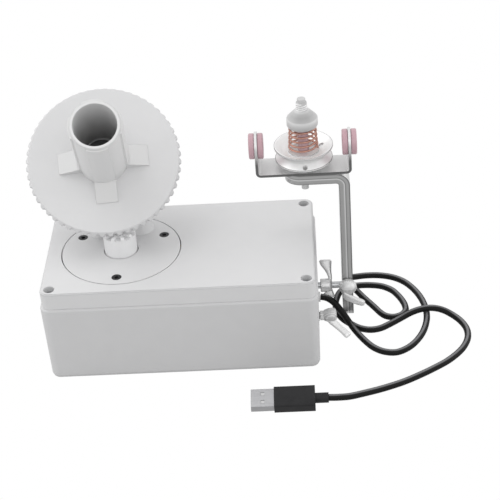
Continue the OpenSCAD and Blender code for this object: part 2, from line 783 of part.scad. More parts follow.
module bracket_screws() {
    color("silver") at_motor() for (x = [-1, 1], y = [-1, 1])
        translate([x * bracket_post_x, y * bracket_post_y, bracket_top_z])
            screw(small_screw_r, bracket_t + 7, small_head_r, small_head_h);
}

// Electrics

module circuit_board() {
    color("darkgreen") translate([board_x, board_y, board_z]) difference() {
        union() {
            translate([-board_l / 2, -board_w / 2, 0]) cube([board_l, board_w, board_t]);
            translate([-6, -6, 0]) cube([10, 8, board_t + 2.5]);
            translate([5, -10, 0]) cube([7, 12, board_t + 6]);
            translate([-11, 3, 0]) cube([8, 10, board_t + 5]);
        }
        for (x = [-1, 1], y = [-1, 1])
            translate([x * (board_l / 2 - board_hole_in), y * (board_w / 2 - board_hole_in), -over])
                cylinder(r = small_screw_r + pin_fit, h = board_t + 2 * over);
    }
}

module board_screws() {
    color("silver") for (x = [-1, 1], y = [-1, 1])
        translate([board_x + x * (board_l / 2 - board_hole_in),
                   board_y + y * (board_w / 2 - board_hole_in), board_z + board_t])
            screw(small_screw_r, board_t + 4.5, small_head_r, small_head_h);
}

module board_capacitor() {
    color("navy") translate([board_x - 6, board_y - 13, board_z + board_t])
        cylinder(r = capacitor_r, h = capacitor_h);
}

module switch_frame() {
    color("black") difference() {
        union() {
            translate([switch_x - bezel_w / 2, bezel_y, switch_z - bezel_h / 2])
                cube([bezel_w, bezel_t, bezel_h]);
            translate([switch_x - switch_body_w / 2, bezel_y + 0.1 - switch_depth,
                       switch_z - switch_body_h / 2])
                cube([switch_body_w, switch_depth, switch_body_h]);
        }
        translate([switch_x - rocker_w / 2 - pass_gap, bezel_y + bezel_t - rocker_r,
                   switch_z - rocker_h / 2 - pass_gap])
            cube([rocker_w + 2 * pass_gap, 2 * rocker_r, rocker_h + 2 * pass_gap]);
        translate([switch_x, rocker_y, switch_z]) rotate([0, 90, 0])
            cylinder(r = rocker_pin_r + run_fit, h = rocker_pin_l + 0.2, center = true);
    }
}

module switch_rocker() {
    color("dimgray") translate([switch_x, rocker_y, switch_z]) rotate([0, 90, 0]) {
        translate([0, 0, -rocker_w / 2]) linear_extrude(rocker_w) polygon([
            [-6.4, 0.4], [-6.2, 2.6], [0, 3.3], [6.2, 5.2], [6.7, 3.4], [3, -3.2], [-3, -3.2]]);
        cylinder(r = rocker_pin_r, h = rocker_pin_l, center = true);
    }
}

// Spool

module spool_disc() {
    color("whitesmoke") at_spool() difference() {
        intersection() {
            linear_extrude(disc_t) toothed_outline(disc_teeth, disc_r - disc_tooth, disc_r);
            rotate_extrude($fn = 128) polygon([
                [0, 0], [disc_r - 0.3, 0], [disc_r + 0.2, 0.6], [disc_r - disc_bevel, disc_t - 0.4],
                [disc_r - disc_bevel - 0.4, disc_t], [0, disc_t]]);
        }
        translate([0, 0, -over]) cylinder(r = spigot_out_r + pin_fit, h = disc_t + 2 * over);
        for (a = [0:90:270]) rotate(a) translate([core_screw_circle, 0, 0]) {
            translate([0, 0, -over]) cylinder(r = core_screw_r + pin_fit, h = disc_t + 2 * over);
            translate([0, 0, -over]) cylinder(r = core_head_r + pin_fit, h = core_head_h + 0.2 + over);
        }
    }
}

module foot_arm() {
    inner = spigot_out_r + 1;
    translate([0, band_w / 2, disc_t]) rotate([90, 0, 0]) linear_extrude(band_w) polygon([
        [inner, 0], [arm_reach, 0], [arm_reach, arm_end_h], [core_r + 1, arm_h], [inner, arm_h]]);
}

module spool_core() {
    color("whitesmoke") at_spool() difference() {
        union() {
            translate([0, 0, disc_t]) cylinder(r = core_r, h = core_len - disc_t - 0.6);
            translate([0, 0, disc_t]) cylinder(r = core_r - 0.5, h = core_len - disc_t);
            intersection() {
                translate([0, 0, disc_t]) cylinder(r = core_r + band_h, h = core_len - disc_t - 1.2);
                for (a = [0, 90]) rotate(a) translate([-core_r - 5, -band_w / 2, disc_t])
                    cube([2 * core_r + 10, band_w, core_len]);
            }
            for (a = [0:90:270]) rotate(a) foot_arm();
            cylinder(r = spigot_out_r, h = disc_t + over);
        }
        translate([0, 0, floor_s]) cylinder(r = core_bore_r, h = core_len);
        translate([0, 0, -over]) cylinder(r = bush_r + pin_fit / 2, h = core_len);
        for (a = [0:90:270]) rotate(a) translate([core_screw_circle, 0, disc_t - over])
            cylinder(r = core_screw_r + pin_fit, h = core_screw_l - disc_t + 0.6 + over);
    }
}

module core_screws() {
    color("silver") at_spool() for (a = [0:90:270]) rotate(a)
        translate([core_screw_circle, 0, core_head_h + 0.1]) rotate([180, 0, 0])
            screw(core_screw_r, core_screw_l - core_head_h, core_head_r, core_head_h);
}

module spindle() {
    color("silver") at_spool() difference() {
        translate([0, 0, spindle_low_s]) cylinder(r = spindle_r, h = spindle_top_s - spindle_low_s);
        translate([0, 0, spindle_top_s - spindle_screw_l])
            cylinder(r = spindle_screw_r + pin_fit, h = spindle_screw_l + over);
    }
}

module spindle_bush() {
    color("tan") at_spool() translate([0, 0, boss_top_s + 0.1])
        ring(bush_r, spindle_r + run_fit, floor_s - boss_top_s - 0.1);
}

module spindle_washer() {
    color("silver") at_spool() translate([0, 0, spindle_top_s])
        ring(washer_r, spindle_screw_r + pin_fit, washer_t);
}

module spindle_screw() {
    color("silver") at_spool() translate([0, 0, spindle_top_s + washer_t])
        screw(spindle_screw_r, washer_t + spindle_screw_l - over, 2.8, 2.2);
}

// Yarn guide

module guide_bar() {
    foot_z = bar_foot_z + bar_foot_r;
    arm_x = bar_x1 - bar_arm + bar_w / 2;
    color("darkgray") difference() {
        union() {
            translate([bar_x0, bar_y - bar_w / 2, foot_z]) cube([bar_t, bar_w, bend_z - foot_z]);
            translate([bar_x0, bar_y - bar_w / 2 + bar_foot_r, bar_foot_z])
                cube([bar_t, bar_w - 2 * bar_foot_r, bar_foot_r + over]);
            for (y = [-1, 1]) translate([bar_x0, bar_y + y * (bar_w / 2 - bar_foot_r), foot_z])
                rotate([0, 90, 0]) cylinder(r = bar_foot_r, h = bar_t);
            translate([bend_x, bar_y + bar_w / 2, bend_z]) rotate([90, 0, 0]) rotate_extrude(angle = 90)
                translate([bar_bend - bar_t, 0]) square([bar_t, bar_w]);
            translate([arm_x, bar_y - bar_w / 2, bar_top_z - bar_t]) cube([bend_x - arm_x, bar_w, bar_t]);
            translate([arm_x, bar_y, bar_top_z - bar_t]) cylinder(r = bar_w / 2, h = bar_t);
        }
        at_tension() translate([0, 0, bar_top_z - bar_t - over])
            cylinder(r = stud_r + pin_fit / 2, h = bar_t + 2 * over);
        translate([bar_x0 - over, bar_y - slot_w / 2, block_z0 - slide_travel - pass_gap])
            cube([bar_t + 2 * over, slot_w, block_l + slide_travel + 2 * pass_gap]);
        translate([lever_bar_x, bar_y - bar_w / 2 - over, lever_bar_z]) rotate([-90, 0, 0])
            cylinder(r = thread_r + run_fit, h = bar_w / 2 - slot_w / 2 + 2 * over);
    }
}

// One ear of the guide plate, standing on the plate's left end
module ear() {
    difference() {
        union() {
            translate([0, bar_y - bar_w / 2, plate_top_z - plate_t + ear_bend])
                cube([plate_t, bar_w, eyelet_z - plate_top_z + plate_t - ear_bend - 4]);
            translate([0, bar_y, 0]) rotate([90, 0, 90]) linear_extrude(plate_t) polygon([
                [-bar_w / 2, eyelet_z - 4.5], [bar_w / 2, eyelet_z - 4.5],
                [ear_r, eyelet_z], [-ear_r, eyelet_z]]);
            translate([0, bar_y, eyelet_z]) rotate([0, 90, 0]) cylinder(r = ear_r, h = plate_t);
            translate([ear_bend, bar_y + bar_w / 2, plate_top_z - plate_t + ear_bend]) rotate([90, 0, 0])
                rotate([0, 0, 180]) rotate_extrude(angle = 90) translate([ear_bend - plate_t, 0])
                    square([plate_t, bar_w]);
        }
        translate([-over, bar_y, eyelet_z]) rotate([0, 90, 0])
            cylinder(r = eyelet_neck_r + pin_fit, h = plate_t + 2 * over);
    }
}

module guide_plate() {
    color("darkgray") {
        difference() {
            translate([plate_x0 + ear_bend, bar_y - bar_w / 2, bar_top_z])
                cube([plate_l - 2 * ear_bend, bar_w, plate_t]);
            at_tension() translate([0, 0, bar_top_z - over])
                cylinder(r = stud_r + pin_fit / 2, h = plate_t + 2 * over);
        }
        translate([plate_x0, 0, 0]) ear();
        translate([plate_x1, 0, 0]) mirror([1, 0, 0]) ear();
    }
}

// An eyelet whose groove's middle lies at x
module eyelet(x) {
    half = eyelet_l / 2;
    slot = plate_t / 2 + eyelet_slack;
    mouth = 1;
    color("rosybrown") translate([x, bar_y, eyelet_z]) rotate([0, 90, 0]) rotate_extrude() polygon([
        [eyelet_bore_r, -half + mouth], [eyelet_bore_r + mouth, -half], [eyelet_r - 0.5, -half],
        [eyelet_r, -half + 0.5], [eyelet_r, -slot - 0.4], [eyelet_r - 0.4, -slot],
        [eyelet_neck_r, -slot], [eyelet_neck_r, slot],
        [eyelet_r - 0.4, slot], [eyelet_r, slot + 0.4], [eyelet_r, half - 0.5], [eyelet_r - 0.5, half],
        [eyelet_bore_r + mouth, half], [eyelet_bore_r, half - mouth]]);
}

// Tension unit

module tension_stud() {
    color("gainsboro") at_tension() {
        translate([0, 0, bar_top_z - bar_t - stud_tip]) cylinder(r = tip_r, h = stud_tip + over);
        translate([0, 0, bar_top_z - bar_t])
            cylinder(r = stud_r, h = stud_top_z - stud_nib - bar_top_z + bar_t);
        translate([0, 0, stud_top_z - stud_nib - over]) cylinder(r = stud_r - 0.7, h = stud_nib + over);
    }
}

module disc_spacer() {
    color("silver") at_tension() translate([0, 0, plate_top_z])
        ring(spacer_r, stud_r + pin_fit / 2, meet_z - meet_gap / 2 - sheet_t - 0.05 - plate_top_z);
}

// The section of a dished disc: dir is 1 for a rim that rises and -1 for one that falls
module dished_disc(r, dir) {
    translate([0, 0, meet_z]) rotate_extrude($fn = 96) polygon([
        [stud_r + run_fit, dir * meet_gap / 2], [disc_flat_r, dir * meet_gap / 2],
        [disc_mid_r, dir * (meet_gap / 2 + disc_flare * 0.3)],
        [r - 0.4, dir * (meet_gap / 2 + disc_flare)], [r, dir * (meet_gap / 2 + disc_flare)],
        [r, dir * (meet_gap / 2 + disc_flare + sheet_t)],
        [r - 0.9, dir * (meet_gap / 2 + disc_flare + sheet_t)],
        [disc_mid_r - 0.4, dir * (meet_gap / 2 + disc_flare * 0.3 + sheet_t)],
        [disc_flat_r - 0.3, dir * (meet_gap / 2 + sheet_t)],
        [stud_r + run_fit, dir * (meet_gap / 2 + sheet_t)]]);
}

module lower_disc() {
    color("lightgray") at_tension() difference() {
        dished_disc(lower_disc_r, -1);
        rotate(-88) translate([disc_mid_r + 1.8, 0, meet_z - 8]) cylinder(r = 1.1, h = 16);
    }
}

module upper_disc() {
    color("white") at_tension() difference() {
        dished_disc(upper_disc_r, 1);
        rotate(20) translate([disc_mid_r - 1.7, 0, meet_z - 8]) cylinder(r = 1.2, h = 16);
    }
}

module pressure_washer() {
    color("silver") at_tension() translate([0, 0, meet_z + meet_gap / 2 + sheet_t + 0.05])
        ring(spring_low_r + spring_wire / 2 + 0.2, stud_r + run_fit, spring_seat_t);
}

spring_base_z = meet_z + meet_gap / 2 + sheet_t + 0.05 + spring_seat_t;
spring_span = knob_z - spring_base_z - 2 * spring_wire;
curl_rings = 8;
spring_rings = round(spring_curls * curl_rings);

function spring_point(i) =
    let (f = i / spring_rings, a = 360 * i / curl_rings,
         r = spring_low_r + (spring_top_r - spring_low_r) * f)
    [r * cos(a), r * sin(a), spring_base_z + spring_wire + spring_span * f];

spring_curl_path = [for (i = [0:spring_rings]) spring_point(i)];
spring_first = spring_curl_path[0];
spring_last = spring_curl_path[spring_rings];
spring_path = concat(
    [[spring_first[0], spring_first[1], spring_base_z]],
    spring_curl_path,
    [[spring_last[0], spring_last[1], knob_z]]);

// The least distance between two points of the wire that are at least half a curl apart
spring_gap = min([for (i = [0:spring_rings - 5], j = [i + 5:spring_rings])
    norm(spring_curl_path[i] - spring_curl_path[j])]) - spring_wire;

module tension_spring() {
    echo(spring_least_gap = spring_gap);
    color("peru") at_tension() swept_tube(spring_path,
        [for (p = spring_path) [p[0], p[1], 0]], spring_wire / 2, 6);
}

module tension_knob() {
    color("silver") at_tension() translate([0, 0, knob_z]) rotate_extrude() polygon([
        [stud_r + run_fit, 0], [knob_r - 1.4, 0], [knob_r, 1.2],
        [knob_r, knob_side_h], [knob_r - 0.3, knob_side_h + 0.3], [knob_top_r, knob_h - 0.3],
        [knob_top_r - 0.4, knob_h], [stud_r + run_fit, knob_h]]);
}

// Side fittings

module wall_inserts() {
    color("dimgray") for (y = [stud_y, screw_y])
        translate([side_x - insert_l, y, side_z]) rotate([0, 90, 0])
            ring(insert_r, thread_r + run_fit, insert_l + insert_out);
}

module guide_stud() {
    x0 = side_x - insert_l - lock_nut_t - 1.5;
    color("silver") translate([x0, stud_y, side_z]) rotate([0, 90, 0])
        cylinder(r = thread_r, h = bar_x1 - 2 * pass_gap - x0);
}

module stud_lock_nut() {
    color("silver") translate([side_x - insert_l - pass_gap - lock_nut_t, stud_y, side_z]) rotate([0, 90, 0])
        difference() {
            cylinder(r = lock_nut_r, h = lock_nut_t, $fn = 6);
            translate([0, 0, -over]) cylinder(r = thread_r + pin_fit / 2, h = lock_nut_t + 2 * over);
        }
}

// A lever that leaves its hub at the origin along +X, from height z0 to a tip at z1
module lever(z0, z1, tip_l, reach) {
    hull() {
        translate([0, 0, z0]) cylinder(r = lever_r, h = 2.6, $fn = hull_fn);
        translate([reach * 0.6, 0, z0 + (z1 - z0) * 0.35]) cylinder(r = lever_r * 0.8, h = 2.4, $fn = hull_fn);
    }
    hull() {
        translate([reach * 0.6, 0, z0 + (z1 - z0) * 0.35]) cylinder(r = lever_r * 0.8, h = 2.4, $fn = hull_fn);
        translate([reach - lever_r * 0.9, 0, z1]) cylinder(r = lever_r * 0.9, h = tip_l, $fn = hull_fn);
    }
}

module lever_nut() {
    x0 = side_x + insert_out + 1.5;
    color("silver") translate([x0, stud_y, side_z]) rotate([0, 90, 0]) rotate(180 - 34) difference() {
        union() {
            cylinder(r = hub_r, h = hub_l);
            lever(hub_l - 2.6, 0.8, hub_l - 1.6, nut_reach);
            rotate(180) translate([0, -wing_t / 2, 0.8]) cube([wing_reach, wing_t, hub_l]);
        }
        translate([0, 0, -over]) cylinder(r = thread_r + run_fit, h = hub_l + 2 * over);
    }
}

module lever_screw_wall() {
    x0 = side_x + insert_out + 0.3 + neck_l;
    color("silver") translate([x0, screw_y, side_z]) rotate([0, 90, 0]) rotate(-48) {
        cylinder(r = hub_r, h = hub_l);
        translate([0, 0, -neck_l]) cylinder(r = hub_r - 1.2, h = neck_l + over);
        translate([0, 0, -insert_l - neck_l]) cylinder(r = thread_r, h = insert_l + over);
        lever(hub_l - 3, hub_l + 3.6, 4, lever_reach);
    }
}

module lever_screw_bar() {
    y0 = bar_y - bar_w / 2 - pass_gap;
    color("silver") translate([lever_bar_x, y0, lever_bar_z]) rotate([90, 0, 0]) rotate(-48) {
        linear_extrude(3) toothed_outline(knurl_teeth, knurl_r - 0.5, knurl_r);
        cylinder(r = hub_r, h = hub_l - 1.4);
        translate([0, 0, -(bar_w - slot_w) / 2 - slide_gap])
            cylinder(r = thread_r, h = (bar_w - slot_w) / 2 + over);
        lever(1.8, hub_l - 1, 2.4, lever_reach);
    }
}

// The block in the bar's slot, which the guide stud holds
module slide_block() {
    color("gray") difference() {
        translate([bar_x0, bar_y - slot_w / 2 + slide_gap, block_z0])
            cube([bar_t, slot_w - 2 * slide_gap, block_l]);
        translate([bar_x0 - over, stud_y, side_z]) rotate([0, 90, 0])
            cylinder(r = thread_r + pin_fit / 2, h = bar_t - pass_gap + over);
    }
}

// Cord and plug

module cord_grommet() {
    color("whitesmoke") translate([0, cord_y, side_z]) rotate([0, 90, 0]) {
        translate([0, 0, side_x + 0.1]) cylinder(r = grommet_r, h = cord_start[0] - side_x - 0.1);
        translate([0, 0, side_x - wall - 3]) cylinder(r = grommet_r - 0.6, h = wall + 3.4);
    }
}

module cord_clamp() {
    color("white") translate([side_x - wall - 3 - clamp_t, cord_y - clamp_w / 2, side_z - clamp_h])
        cube([clamp_t, clamp_w, 2 * clamp_h]);
}

module usb_cord() {
    path = smooth_path(cord_points, cord_steps);
    color("black") swept_tube(path, [for (p = path) [0, 0, 1]], cord_r, cord_sides);
}

module at_plug() {
    translate(plug_at) rotate([plug_roll, 0, 0]) rotate([0, -90, 0]) children();
}

module plug_body() {
    color("black") at_plug() difference() {
        union() {
            linear_extrude(plug_l) round_rect(plug_t, plug_w, plug_round);
            translate([0, 0, -plug_neck_l]) cylinder(r = plug_neck_r, h = plug_neck_l + over);
        }
        translate([0, 0, plug_l - 6]) linear_extrude(6 + over) square([shell_t, shell_w], center = true);
    }
}

module plug_shell() {
    color("silver") at_plug() difference() {
        translate([0, 0, plug_l - 6]) linear_extrude(6 + shell_l) square([shell_t, shell_w], center = true);
        translate([0, 0, plug_l - 6 - over]) linear_extrude(6 + shell_l + 2 * over)
            square([shell_t - 2 * shell_sheet, shell_w - 2 * shell_sheet], center = true);
        for (y = [-1, 1]) translate([-shell_t, y * shell_hole_gap / 2 - shell_hole / 2,
                                     plug_l + shell_hole_x - shell_hole / 2])
            cube([2 * shell_t, shell_hole, shell_hole]);
    }
}

module plug_tongue() {
    color("white") at_plug()
        translate([shell_t / 2 - shell_sheet - tongue_t, -shell_w / 2 + shell_sheet, plug_l - 6])
        cube([tongue_t, shell_w - 2 * shell_sheet, 6 + shell_l - 1]);
}

casing_base();
casing_lid();
lid_screws();
centre_post();
post_screws();
sun_gear();
turntable();
turntable_screws();
drive_gear();
bearing(low_bearing_z);  // bearing_lower
bearing(top_bearing_z);  // bearing_upper
motor_can();
motor_gearbox();
motor_shaft();
motor_pinion();
motor_bracket();
motor_screws();
bracket_screws();
circuit_board();
board_screws();
board_capacitor();
switch_frame();
switch_rocker();
spool_disc();
spool_core();
core_screws();
spindle();
spindle_bush();
spindle_washer();
spindle_screw();
guide_bar();
guide_plate();
eyelet(plate_x0 + plate_t / 2);  // eyelet_left
eyelet(plate_x1 - plate_t / 2);  // eyelet_right
tension_stud();
disc_spacer();
lower_disc();
upper_disc();
pressure_washer();
tension_spring();
tension_knob();
wall_inserts();
guide_stud();
stud_lock_nut();
lever_nut();
slide_block();
lever_screw_bar();
lever_screw_wall();
cord_grommet();
cord_clamp();
usb_cord();
plug_body();
plug_shell();
plug_tongue();
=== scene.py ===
import json
import math
import bmesh
import bpy
from mathutils import Matrix, Vector


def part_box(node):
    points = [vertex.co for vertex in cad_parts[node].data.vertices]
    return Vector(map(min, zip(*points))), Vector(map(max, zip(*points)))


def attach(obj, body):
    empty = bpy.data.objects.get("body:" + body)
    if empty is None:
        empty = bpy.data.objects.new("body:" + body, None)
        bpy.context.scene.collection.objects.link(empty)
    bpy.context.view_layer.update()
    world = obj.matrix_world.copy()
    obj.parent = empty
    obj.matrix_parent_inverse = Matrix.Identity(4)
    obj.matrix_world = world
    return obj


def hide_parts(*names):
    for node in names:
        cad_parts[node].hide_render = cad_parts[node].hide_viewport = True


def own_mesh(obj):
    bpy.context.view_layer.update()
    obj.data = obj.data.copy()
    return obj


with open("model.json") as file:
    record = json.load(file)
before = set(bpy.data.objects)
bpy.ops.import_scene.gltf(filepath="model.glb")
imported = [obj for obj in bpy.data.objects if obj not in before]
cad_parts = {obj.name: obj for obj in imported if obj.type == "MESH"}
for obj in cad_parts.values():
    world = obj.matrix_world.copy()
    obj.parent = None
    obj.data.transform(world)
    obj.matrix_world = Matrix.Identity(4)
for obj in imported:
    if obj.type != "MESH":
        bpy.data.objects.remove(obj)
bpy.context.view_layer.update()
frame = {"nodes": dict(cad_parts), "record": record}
nodes = frame["nodes"]

MM = 0.001


# Camera, solved from the photograph with the casing as the scale
AZ, EL, ROLL = math.radians(3.04), math.radians(34.35), math.radians(-4.37)
CAMERA_AT = (0.07834, -0.71646, 0.54465)
LENS_MM, SENSOR_MM = 107.2, 36.0
back = Vector((math.sin(AZ) * math.cos(EL), -math.cos(AZ) * math.cos(EL), math.sin(EL)))
right = Vector((0, 0, 1)).cross(back).normalized()
up = back.cross(right)
cam_x = math.cos(ROLL) * right + math.sin(ROLL) * up
cam_y = -math.sin(ROLL) * right + math.cos(ROLL) * up
cam_data = bpy.data.cameras.new("camera")
cam_data.sensor_width = SENSOR_MM
cam_data.lens = LENS_MM
cam_data.clip_start = 0.01
cam_data.clip_end = 20.0
cam = bpy.data.objects.new("camera", cam_data)
bpy.context.scene.collection.objects.link(cam)
place = Matrix((cam_x, cam_y, back)).transposed().to_4x4()
place.translation = Vector(CAMERA_AT)
cam.matrix_world = place
bpy.context.scene.camera = cam


# Shader nodes

def new_material(name):
    m = bpy.data.materials.new(name)
    m.use_nodes = True
    t = m.node_tree
    bsdf = next(n for n in t.nodes if n.type == "BSDF_PRINCIPLED")
    return m, t, bsdf


def feed(t, value, socket):
    """Links a socket to another one, or sets its value."""
    if isinstance(value, bpy.types.NodeSocket):
        t.links.new(value, socket)
    else:
        socket.default_value = value


def grey(tone):
    return (tone, tone, tone)


def object_place(t):
    return t.nodes.new("ShaderNodeTexCoord").outputs["Object"]


def face_normal(t):
    """The normal of the face itself, in the object's own axes."""
    geo = t.nodes.new("ShaderNodeNewGeometry")
    turn = t.nodes.new("ShaderNodeVectorTransform")
    turn.vector_type = "NORMAL"
    turn.convert_from = "WORLD"
    turn.convert_to = "OBJECT"
    t.links.new(geo.outputs["True Normal"], turn.inputs["Vector"])
    return turn.outputs["Vector"]


def along_axis(t, vector, axis):
    xyz = t.nodes.new("ShaderNodeSeparateXYZ")
    t.links.new(vector, xyz.inputs["Vector"])
    return xyz.outputs[axis]


def math_node(t, operation, a, b=0.5):
    m = t.nodes.new("ShaderNodeMath")
    m.operation = operation
    t.links.new(a, m.inputs[0])
    feed(t, b, m.inputs[1])
    return m.outputs[0]


def vector_math(t, operation, a, b=(0.0, 0.0, 0.0)):
    m = t.nodes.new("ShaderNodeVectorMath")
    m.operation = operation
    t.links.new(a, m.inputs[0])
    feed(t, b, m.inputs[1])
    return m.outputs["Value" if operation in ("LENGTH", "DOT_PRODUCT") else "Vector"]


def spread(t, fac, low, high):
    """From the low value to the high one as the factor goes from 0 to 1."""
    m = t.nodes.new("ShaderNodeMapRange")
    m.inputs["To Min"].default_value = low
    m.inputs["To Max"].default_value = high
    t.links.new(fac, m.inputs["Value"])
    return m.outputs["Result"]


def between(t, value, low, high):
    """From 0 at the low value to 1 at the high one."""
    m = t.nodes.new("ShaderNodeMapRange")
    m.inputs["From Min"].default_value = low
    m.inputs["From Max"].default_value = high
    t.links.new(value, m.inputs["Value"])
    return m.outputs["Result"]


def noise(t, scale, detail=3.0, rough=0.5, stretch=None):
    tex = t.nodes.new("ShaderNodeTexNoise")
    tex.inputs["Scale"].default_value = scale
    tex.inputs["Detail"].default_value = detail
    tex.inputs["Roughness"].default_value = rough
    where = object_place(t)
    if stretch:
        mapping = t.nodes.new("ShaderNodeMapping")
        mapping.inputs["Scale"].default_value = stretch
        t.links.new(where, mapping.inputs["Vector"])
        where = mapping.outputs["Vector"]
    t.links.new(where, tex.inputs["Vector"])
    return tex.outputs["Fac"]


def ramp(t, fac, low, high, start=0.3, end=0.7):
    """A colour ramp between two colours."""
    r = t.nodes.new("ShaderNodeValToRGB")
    for mark, where, color in zip(r.color_ramp.elements, (start, end), (low, high)):
        mark.position = where
        mark.color = (*color, 1.0)
    t.links.new(fac, r.inputs["Fac"])
    return r.outputs["Color"]


def tones(t, fac, stops):
    """A grey ramp from (place, tone) pairs."""
    r = t.nodes.new("ShaderNodeValToRGB")
    marks = r.color_ramp.elements
    for mark, (place_at, tone) in zip((marks[0], marks[1]), (stops[0], stops[-1])):
        mark.position = place_at
        mark.color = (*grey(tone), 1.0)
    for place_at, tone in stops[1:-1]:
        marks.new(place_at).color = (*grey(tone), 1.0)
    t.links.new(fac, r.inputs["Fac"])
    return r.outputs["Color"]


def blend_colors(t, fac, a, b):
    mix = t.nodes.new("ShaderNodeMix")
    mix.data_type = "RGBA"
    t.links.new(fac, mix.inputs["Factor"])
    for name, value in (("A", a), ("B", b)):
        feed(t, (*value, 1.0) if isinstance(value, tuple) else value, mix.inputs[name])
    return mix.outputs["Result"]


def soft_edges(t, radius, samples):
    bevel = t.nodes.new("ShaderNodeBevel")
    bevel.samples = samples
    bevel.inputs["Radius"].default_value = radius
    return bevel.outputs["Normal"]


def near_edge(t, width):
    """1 on open faces and towards 0 within a width of their edges."""
    geo = t.nodes.new("ShaderNodeNewGeometry")
    dot = vector_math(t, "DOT_PRODUCT", soft_edges(t, width, 8), geo.outputs["True Normal"])
    return between(t, dot, 0.75, 0.99)


def edges(t, bsdf, radius, fac, strength, depth):
    """Rounded edges with a fine grain, both only in the shading."""
    bump = t.nodes.new("ShaderNodeBump")
    bump.inputs["Strength"].default_value = strength
    bump.inputs["Distance"].default_value = depth
    t.links.new(fac, bump.inputs["Height"])
    t.links.new(soft_edges(t, radius, 6), bump.inputs["Normal"])
    t.links.new(bump.outputs["Normal"], bsdf.inputs["Normal"])


# Materials, each with its colour or tones, its spread of roughness and its edge radius in metres

PLASTIC_BUMP, PLASTIC_DEPTH = 0.08, 0.00005
METAL_GRAIN, METAL_BUMP, METAL_DEPTH = 1500.0, 0.06, 0.00004
M = {}


def varied(color, vary):
    """The darkest and the lightest colour of a material that varies a little."""
    return tuple(max(c - vary, 0.0) for c in color), tuple(min(c + vary, 1.0) for c in color)


def plastic(name, color, vary=0.02, rough=(0.38, 0.5), grain=2500.0, radius=0.0004, ior=1.46):
    M[name], t, b = new_material(name)
    t.links.new(ramp(t, noise(t, 90.0), *varied(color, vary)), b.inputs["Base Color"])
    t.links.new(spread(t, noise(t, 400.0), *rough), b.inputs["Roughness"])
    b.inputs["IOR"].default_value = ior
    edges(t, b, radius, noise(t, grain, 2.0), PLASTIC_BUMP, PLASTIC_DEPTH)


def finish_metal(t, b, color, rough, metallic=1.0, radius=0.0004, fac=None):
    if fac is None:
        fac = noise(t, METAL_GRAIN, 4.0, 0.6)
    t.links.new(color, b.inputs["Base Color"])
    t.links.new(spread(t, fac, *rough), b.inputs["Roughness"])
    b.inputs["Metallic"].default_value = metallic
    edges(t, b, radius, fac, METAL_BUMP, METAL_DEPTH)


def metal(name, color, vary=0.03, rough=(0.25, 0.38), stretch=(1.0, 1.0, 1.0), radius=0.0003,
          metallic=1.0, edge_shade=None):
    """Metal with a fine grain. An edge shade is the width and the tone of a painted shade along its edges."""
    M[name], t, b = new_material(name)
    fac = noise(t, METAL_GRAIN, 4.0, 0.6, stretch)
    base = ramp(t, fac, *varied(color, vary))
    if edge_shade is not None:
        # Painted shade: the faces darken to a set tone within a set width of their edges.
        base = blend_colors(t, near_edge(t, edge_shade[0]), grey(edge_shade[1]), base)
    finish_metal(t, b, base, rough, metallic, radius, fac)


def skin_with_painted_streak(name, dark, light, low, high):
    """A dark smooth skin with a painted highlight: a lighter, slightly blue streak along the parts that face
    up.
    """
    M[name], t, b = new_material(name)
    geo = t.nodes.new("ShaderNodeNewGeometry")
    facing_up = along_axis(t, geo.outputs["Normal"], "Z")
    t.links.new(ramp(t, facing_up, grey(dark), (light, light, light * 1.03), low, high),
                b.inputs["Base Color"])
    t.links.new(spread(t, noise(t, 600.0), 0.45, 0.6), b.inputs["Roughness"])
    b.inputs["IOR"].default_value = 1.28


def bent_bar_sheen_metal(name, centre, low, high, stops, side_tone):
    """Metal whose front edge has painted bands of highlight and shade, as on a rounded edge, that follow the
    bend round its centre.
    """
    M[name], t, b = new_material(name)
    past_centre = vector_math(t, "MAXIMUM", vector_math(t, "SUBTRACT", object_place(t), centre))
    away = vector_math(t, "LENGTH", vector_math(t, "MULTIPLY", past_centre, (1.0, 0.0, 1.0)))
    # Painted highlight and shade: light and dark bands across the front edge, by distance from the bend.
    sheen_bands = tones(t, between(t, away, low, high), stops)
    front = math_node(t, "ABSOLUTE", along_axis(t, face_normal(t), "Y"))
    finish_metal(t, b, blend_colors(t, front, grey(side_tone), sheen_bands), (0.3, 0.42))


def thin_sheet_metal(name, tone, low, high, cut_edge_shade_stops, rough):
    """Sheet metal whose cut edges, the faces that look along Y, take a painted shade and light from the height,
    darker low down.
    """
    M[name], t, b = new_material(name)
    facing = math_node(t, "ABSOLUTE", along_axis(t, face_normal(t), "Y"))
    front = tones(t, facing, [(0.3, 0.0), (0.7, 1.0)])
    # Painted shade and light on the cut edges: dark low down, light higher up.
    edge = tones(t, between(t, along_axis(t, object_place(t), "Z"), low, high), cut_edge_shade_stops)
    finish_metal(t, b, blend_colors(t, front, grey(tone), edge), rough, 0.35, 0.0001)


def painted_height_shading(name, low, high, stops, sheen_gain):
    """Painted light and shade by height between two heights in metres, with a painted sheen where the surface
    turns away.
    """
    M[name], t, b = new_material(name)
    height = between(t, along_axis(t, object_place(t), "Z"), low, high)
    layer = t.nodes.new("ShaderNodeLayerWeight")
    layer.inputs["Blend"].default_value = 0.4
    # Painted sheen: lighter where the surface turns away from the view.
    painted_sheen = math_node(t, "MULTIPLY", layer.outputs["Facing"], sheen_gain)
    color = blend_colors(t, painted_sheen, tones(t, height, stops), grey(0.75))
    finish_metal(t, b, color, (0.35, 0.45), 0.0, 0.0003)


def shade_striped(name, axis, pitch, tone, dark, top=None):
    """Cast metal with its flutes painted as stripes of shade along one axis, in metres, below a height when one
    is given.
    """
    M[name], t, b = new_material(name)
    phase = math_node(t, "MULTIPLY", along_axis(t, object_place(t), axis), 2 * math.pi / pitch)
    color = tones(t, math_node(t, "SINE", phase), [(0.05, dark), (0.6, tone)])
    if top is not None:
        above = math_node(t, "GREATER_THAN", along_axis(t, object_place(t), "Z"), top)
        color = blend_colors(t, above, color, grey(tone))
    finish_metal(t, b, color, (0.35, 0.5), 0.3)


